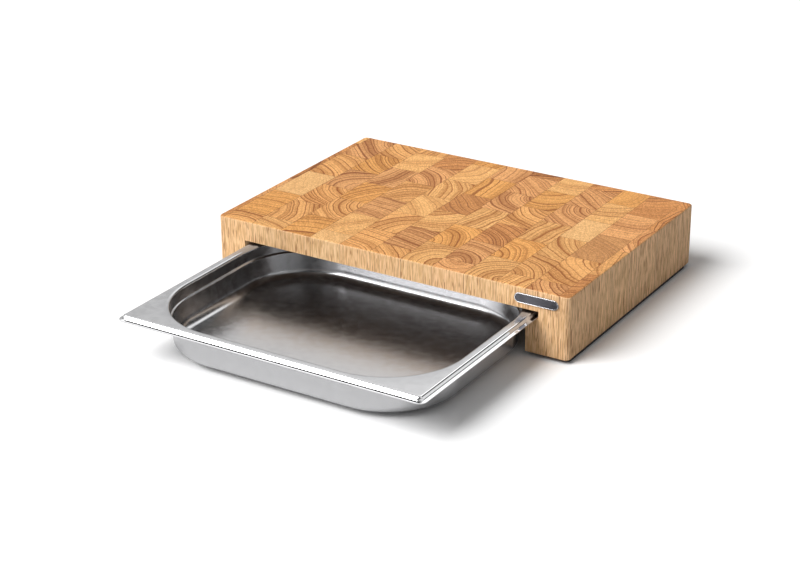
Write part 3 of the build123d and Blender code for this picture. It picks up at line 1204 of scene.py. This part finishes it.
@dataclass
class Fittings:
    """The nameplate, the rubber strips and the screws that hold them."""

    plate: Material
    rubber: Material
    zinc: Material
    press: Tree
    line_up: Tree
    plate_thickness: float = 1.2
    field_depth: float = 0.4
    plate_rim: float = 0.7
    stud_radius: float = 0.8
    stud_length: float = 5.0
    stud_point: float = 0.6
    stud_spacing: float = 32.0
    screw_radius: float = 1.75
    head_radius: float = 3.5
    head_height: float = 1.6
    head_chamfer: float = 0.25
    socket_radius: float = 1.1
    socket_depth: float = 1.0
    socket_chamfer: float = 0.1
    screw_count: int = 3
    screw_length: float = 15.5
    shank: float = 1.0
    thread_pitch: float = 1.4
    thread_end: float = 13.0
    thread_root: float = 0.78
    tip_radius: float = 0.3
    sides: int = 24

    def build(self, nodes: dict[str, Piece]) -> None:
        """Builds all of the fittings.

        Args:
            nodes: the frame's nodes by name.
        """
        self.nameplate()
        self.studs()
        for side in ("left", "right"):
            self.screws(f"strip_screws_{side}")
            strip = nodes[f"rubber_strip_{side}"]
            strip.data.materials.clear()
            strip.data.materials.append(self.rubber)
            LOG.info("%s: rubber", strip.name)

    def nameplate(self) -> None:
        """The bare oval plate with its raised rim."""
        low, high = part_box("nameplate")
        half = (high.z - low.z) / 2 / MM
        face, sunk = self.plate_thickness, self.plate_thickness - self.field_depth
        bends = [
            Bend(half, 0.0, 0.0, satin=0.0),
            Bend(0.0, 0.0, half, 0.1, satin=0.0),
            Bend(0.0, face, half, 0.3, satin=0.0),
            Bend(self.plate_rim, face, half - self.plate_rim, 0.15, satin=0.0),
            Bend(self.plate_rim + 0.2, sunk, half - self.plate_rim - 0.2, 0.15),
            Bend(self.plate_rim + 0.6, sunk, half - self.plate_rim - 0.6),
            Bend(half, sunk, 0.0),
        ]
        draft = profile_draft("nameplate_oval", rounded_profile(bends, 4))
        front = low.y + self.plate_thickness * MM
        middle = ((low.x + high.x) / 2, front, (low.z + high.z) / 2)
        values = {
            "Length": high.x - low.x,
            "Width": high.z - low.z,
            "Arc Steps": 16,
            "Place": middle,
            "Turn": (math.pi / 2, 0.0, 0.0),
            "Material": self.plate,
        }
        run_tree(draft, self.press, values)
        piece = finished(draft)
        smooth_by_angle(piece, 40)
        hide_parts("nameplate")
        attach(piece, "board")
        LOG.info("%s: %d faces", piece.name, len(piece.data.polygons))

    def ring(self, radius: float, height: float, corners: int = 0) -> list[Point]:
        """A ring of points round the Z axis.

        Args:
            radius: the radius in millimetres, or for a ring with corners that of its flats.
            height: how high the ring lies, in millimetres.
            corners: how many corners it has, or 0 for a round one.

        Returns:
            The points, in metres.
        """
        points = []
        for angle in (n * math.tau / self.sides for n in range(self.sides)):
            reach = radius * MM
            if corners:
                half = math.pi / corners
                reach *= math.cos(half) / math.cos(angle % (2 * half) - half)
            points.append((reach * math.cos(angle), reach * math.sin(angle), height * MM))
        return points

    def in_line(self, name: str, mesh: Mesh, values: dict[str, object]) -> Piece:
        """Copies of a mesh in a line, as one piece.

        Args:
            name: the piece's name.
            mesh: what is copied.
            values: the inputs of the tree that sets the copies.

        Returns:
            The piece.
        """
        draft = new_piece(name, mesh)
        run_tree(draft, self.line_up, values)
        piece = finished(draft)
        smooth_by_angle(piece, 30)
        return piece

    def studs(self) -> None:
        """The two studs behind the nameplate, each with a pointed end, pressed into the wood."""
        low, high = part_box("nameplate")
        shoulder = self.stud_length - self.stud_point
        ends = ((self.stud_radius, 0.0), (self.stud_radius, shoulder), (self.tip_radius, self.stud_length))
        rings = [[(x, z, y) for x, y, z in self.ring(*end)] for end in ends]
        left = (low.x + high.x) / 2 - self.stud_spacing / 2 * MM
        values = {
            "Count": 2,
            "First": (left, low.y + self.plate_thickness * MM, (low.z + high.z) / 2),
            "Step": (self.stud_spacing * MM, 0.0, 0.0),
            "Material": self.plate,
        }
        piece = self.in_line("nameplate_studs", ring_stack(rings), values)
        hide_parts("nameplate")
        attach(piece, "board")
        LOG.info("%s: %d faces", piece.name, len(piece.data.polygons))

    def screw_mesh(self) -> Mesh:
        """One cheese-head screw with a hexagonal socket and a thread, its head's face at z = 0.

        Returns:
            The mesh.
        """
        root = self.screw_radius * self.thread_root
        rings = [
            self.ring(self.socket_radius, self.socket_depth, 6),
            self.ring(self.socket_radius, self.socket_chamfer, 6),
            self.ring(self.socket_radius + self.socket_chamfer, 0.0, 6),
            self.ring(self.head_radius - self.head_chamfer, 0.0),
            self.ring(self.head_radius, self.head_chamfer),
            self.ring(self.head_radius, self.head_height),
            self.ring(self.screw_radius, self.head_height),
        ]
        height = self.head_height + self.shank
        while height < self.thread_end:
            rings.append(self.ring(root, height))
            rings.append(self.ring(self.screw_radius, height + self.thread_pitch / 2))
            height += self.thread_pitch
        rings += [self.ring(root, height), self.ring(self.tip_radius, self.screw_length)]
        return ring_stack(rings)

    def screws(self, node: str) -> None:
        """The screws of one strip, in a line along it.

        Args:
            node: the node that they stand for.
        """
        low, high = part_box(node)
        reach = self.head_radius * MM
        values = {
            "Count": self.screw_count,
            "First": ((low.x + high.x) / 2, low.y + reach, low.z),
            "Step": (0.0, (high.y - low.y - 2 * reach) / (self.screw_count - 1), 0.0),
            "Material": self.zinc,
        }
        piece = self.in_line(node.replace("strip_screws", "socket_screws"), self.screw_mesh(), values)
        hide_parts(node)
        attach(piece, "board")
        LOG.info("%s: %d faces", piece.name, len(piece.data.polygons))


# ---- the studio


@dataclass(frozen=True)
class Studio:
    """A white seamless floor, soft light from the front left, and the photograph's camera."""

    camera_place: Point = (0.8961, -1.4483, 0.7774)
    camera_direction: Point = (-0.4822, 0.7749, -0.4087)
    camera_roll: float = -0.0057
    lens: float = 86.9
    floor_half: float = 8.0
    floor_colour: Colour = (0.84, 0.84, 0.84)
    floor_seen: Colour = (1.10, 1.10, 1.10)
    key_direction: Point = (-0.40, -0.58, 0.76)
    key_strength: float = 3.30
    key_angle: float = 40.0
    fill_even: float = 0.05
    fill_above: float = 0.24
    fill_front: float = 0.24
    dark_side: float = 0.04
    back_low: float = 0.60
    back_high: float = 1.50
    back_left: float = 0.82
    softbox: float = 1.5
    beside: float = 0.3
    overhead: float = 0.5

    def build(self) -> None:
        """Builds the floor, the lights and the camera."""
        self.floor()
        self.world()
        self.key_light()
        self.camera()
        bpy.context.scene.view_settings.view_transform = "Standard"
        LOG.info("studio ready")

    def floor(self) -> None:
        """The floor, which isn't part of the object. It is whiter where the camera sees it."""
        mesh = bpy.data.meshes.new("studio_floor")
        half = self.floor_half
        corners = [(-half, -half, 0), (half, -half, 0), (half, half, 0), (-half, half, 0)]
        mesh.from_pydata(corners, [], [(0, 1, 2, 3)])
        material, graph, shader = new_material("white_paper")
        seen = graph.add("ShaderNodeLightPath").outputs["Is Camera Ray"]
        colour = graph.blend(seen, self.floor_colour, self.floor_seen)
        graph.feed_all(shader, {"Base Color": colour, "Roughness": 1.0, "Specular IOR Level": 0.0})
        mesh.materials.append(material)
        new_piece("studio_floor", mesh)

    def world(self) -> None:
        """Soft light for diffuse surfaces, and a studio of white and dark walls for gloss.

        The camera sees plain white. What light a gloss throws on a dull surface is the soft light
        again, so that the metal doesn't brighten the wood beside it.
        """
        world = bpy.data.worlds.new("studio")
        bpy.context.scene.world = world
        world.use_nodes = True
        graph = Graph(world.node_tree)
        world.node_tree.nodes.clear()
        way = graph.parts(graph.add("ShaderNodeTexCoord").outputs["Generated"])

        soft = graph.ramp(way["Z"], (self.fill_even, self.fill_even + self.fill_above))
        soft = graph.math("ADD", soft, graph.step(way["Y"], 0.0, -1.0, 0.0, self.fill_front))

        path = graph.add("ShaderNodeLightPath").outputs
        undiffused = graph.math("LESS_THAN", path["Diffuse Depth"], 0.5)
        strength = graph.mix(graph.times(path["Is Glossy Ray"], undiffused), soft, self.walls(graph, way))
        seen = graph.math("MAXIMUM", path["Is Camera Ray"], path["Is Transmission Ray"])
        strength = graph.mix(seen, strength, 1.0)
        sky = graph.fed("ShaderNodeBackground", {"Color": (1.0, 1.0, 1.0, 1.0), "Strength": strength})
        graph.feed(graph.add("ShaderNodeOutputWorld").inputs["Surface"], sky.outputs[0])

    def walls(self, graph: Graph, way: Outputs) -> Socket:
        """How bright the studio is in each direction, for gloss.

        Each patch has a brightness, and edges on the parts of the direction: where it starts and
        where it is full. A later patch lies over an earlier one.

        Args:
            graph: the world's graph.
            way: the parts of the direction.

        Returns:
            The brightness.
        """
        dark = self.dark_side
        front = graph.step(way["X"], -0.22, -0.34, self.beside, self.softbox)
        walls = graph.times(
            graph.step(way["Z"], 0.40, 0.54, self.back_low, self.back_high),
            graph.step(way["X"], -0.66, -0.50, self.back_left, 1.0),
        )
        softbox = graph.times(graph.step(way["X"], -0.97, -0.90), graph.step(way["Z"], 0.56, 0.48))
        patches = (
            (dark, ("X", -0.72, -0.80), ("Y", 0.10, 0.20)),  # the far left
            (self.overhead, ("Z", 0.76, 0.86)),
            (graph.mix(softbox, dark, front), ("Y", -0.05, -0.30)),
            (dark, ("X", 0.06, 0.20), ("X", 0.66, 0.56), ("Z", 0.84, 0.76)),  # a belt at the right
            (dark, ("Z", 0.66, 0.74), ("X", -0.20, -0.32)),  # a band over the back
        )
        for light, *edges in patches:
            share = graph.times(*(graph.step(way[axis], start, full) for axis, start, full in edges))
            walls = graph.mix(share, walls, light)
        return walls

    def aimed(self, name: str, data: bpy.types.ID, direction: Point, roll: float = 0.0) -> Piece:
        """Puts a light or a camera into the scene.

        Args:
            name: the object's name.
            data: the light's or camera's data.
            direction: where it looks.
            roll: how far it is rolled, in radians.

        Returns:
            The object.
        """
        holder = new_piece(name, data)
        holder.rotation_mode = "QUATERNION"
        aim = Vector(direction).to_track_quat("-Z", "Y")
        holder.rotation_quaternion = aim @ Quaternion((0.0, 0.0, 1.0), roll)
        return holder

    def key_light(self) -> None:
        """The large soft light, far off, so that it lights the floor evenly."""
        lamp = bpy.data.lights.new("key_light", "SUN")
        lamp.energy, lamp.angle = self.key_strength, math.radians(self.key_angle)
        self.aimed("key_light", lamp, [-part for part in self.key_direction])

    def camera(self) -> None:
        """The camera, where the photograph was taken from."""
        data = bpy.data.cameras.new("photo_camera")
        data.lens, data.sensor_width = self.lens, 36.0
        data.clip_start, data.clip_end = 0.05, 50.0
        holder = self.aimed("photo_camera", data, self.camera_direction, self.camera_roll)
        holder.location = self.camera_place
        bpy.context.scene.camera = holder


def main() -> None:
    """Builds the studio and every piece, in order."""
    logging.basicConfig(level=logging.INFO, format="%(name)s: %(message)s")
    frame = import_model()
    nodes = frame["nodes"]
    Studio().build()
    grain, press = metal_grain_group(), press_tree()
    ChoppingBlock(WoodFinish(GrowthRings().group()).material()).build(nodes)
    steel = MetalFinish(grain, "pressed_steel", ((0.84, 0.84, 0.85), (0.60, 0.60, 0.61)), (0.06, 0.23))
    PressedTray(steel.material(), press).build()
    plate = MetalFinish(
        grain,
        "cast_plate",
        colours=((0.50, 0.50, 0.51), (0.09, 0.09, 0.10)),
        roughness=(0.16, 0.42),
        tooth=2600.0,
        wave=900.0,
        wave_share=0.5,
        shade=(1.0, 1.0),
        spread=(0.0, 0.06),
        relief=(0.5, 0.12),
    )
    zinc = MetalFinish(grain, "zinc_screw", ((0.52, 0.52, 0.54),) * 2, (0.35, 0.35))
    materials = plate.material(), RubberFinish().material(), zinc.material()
    Fittings(*materials, press, line_up_tree()).build(nodes)


if __name__ == "__main__":
    main()
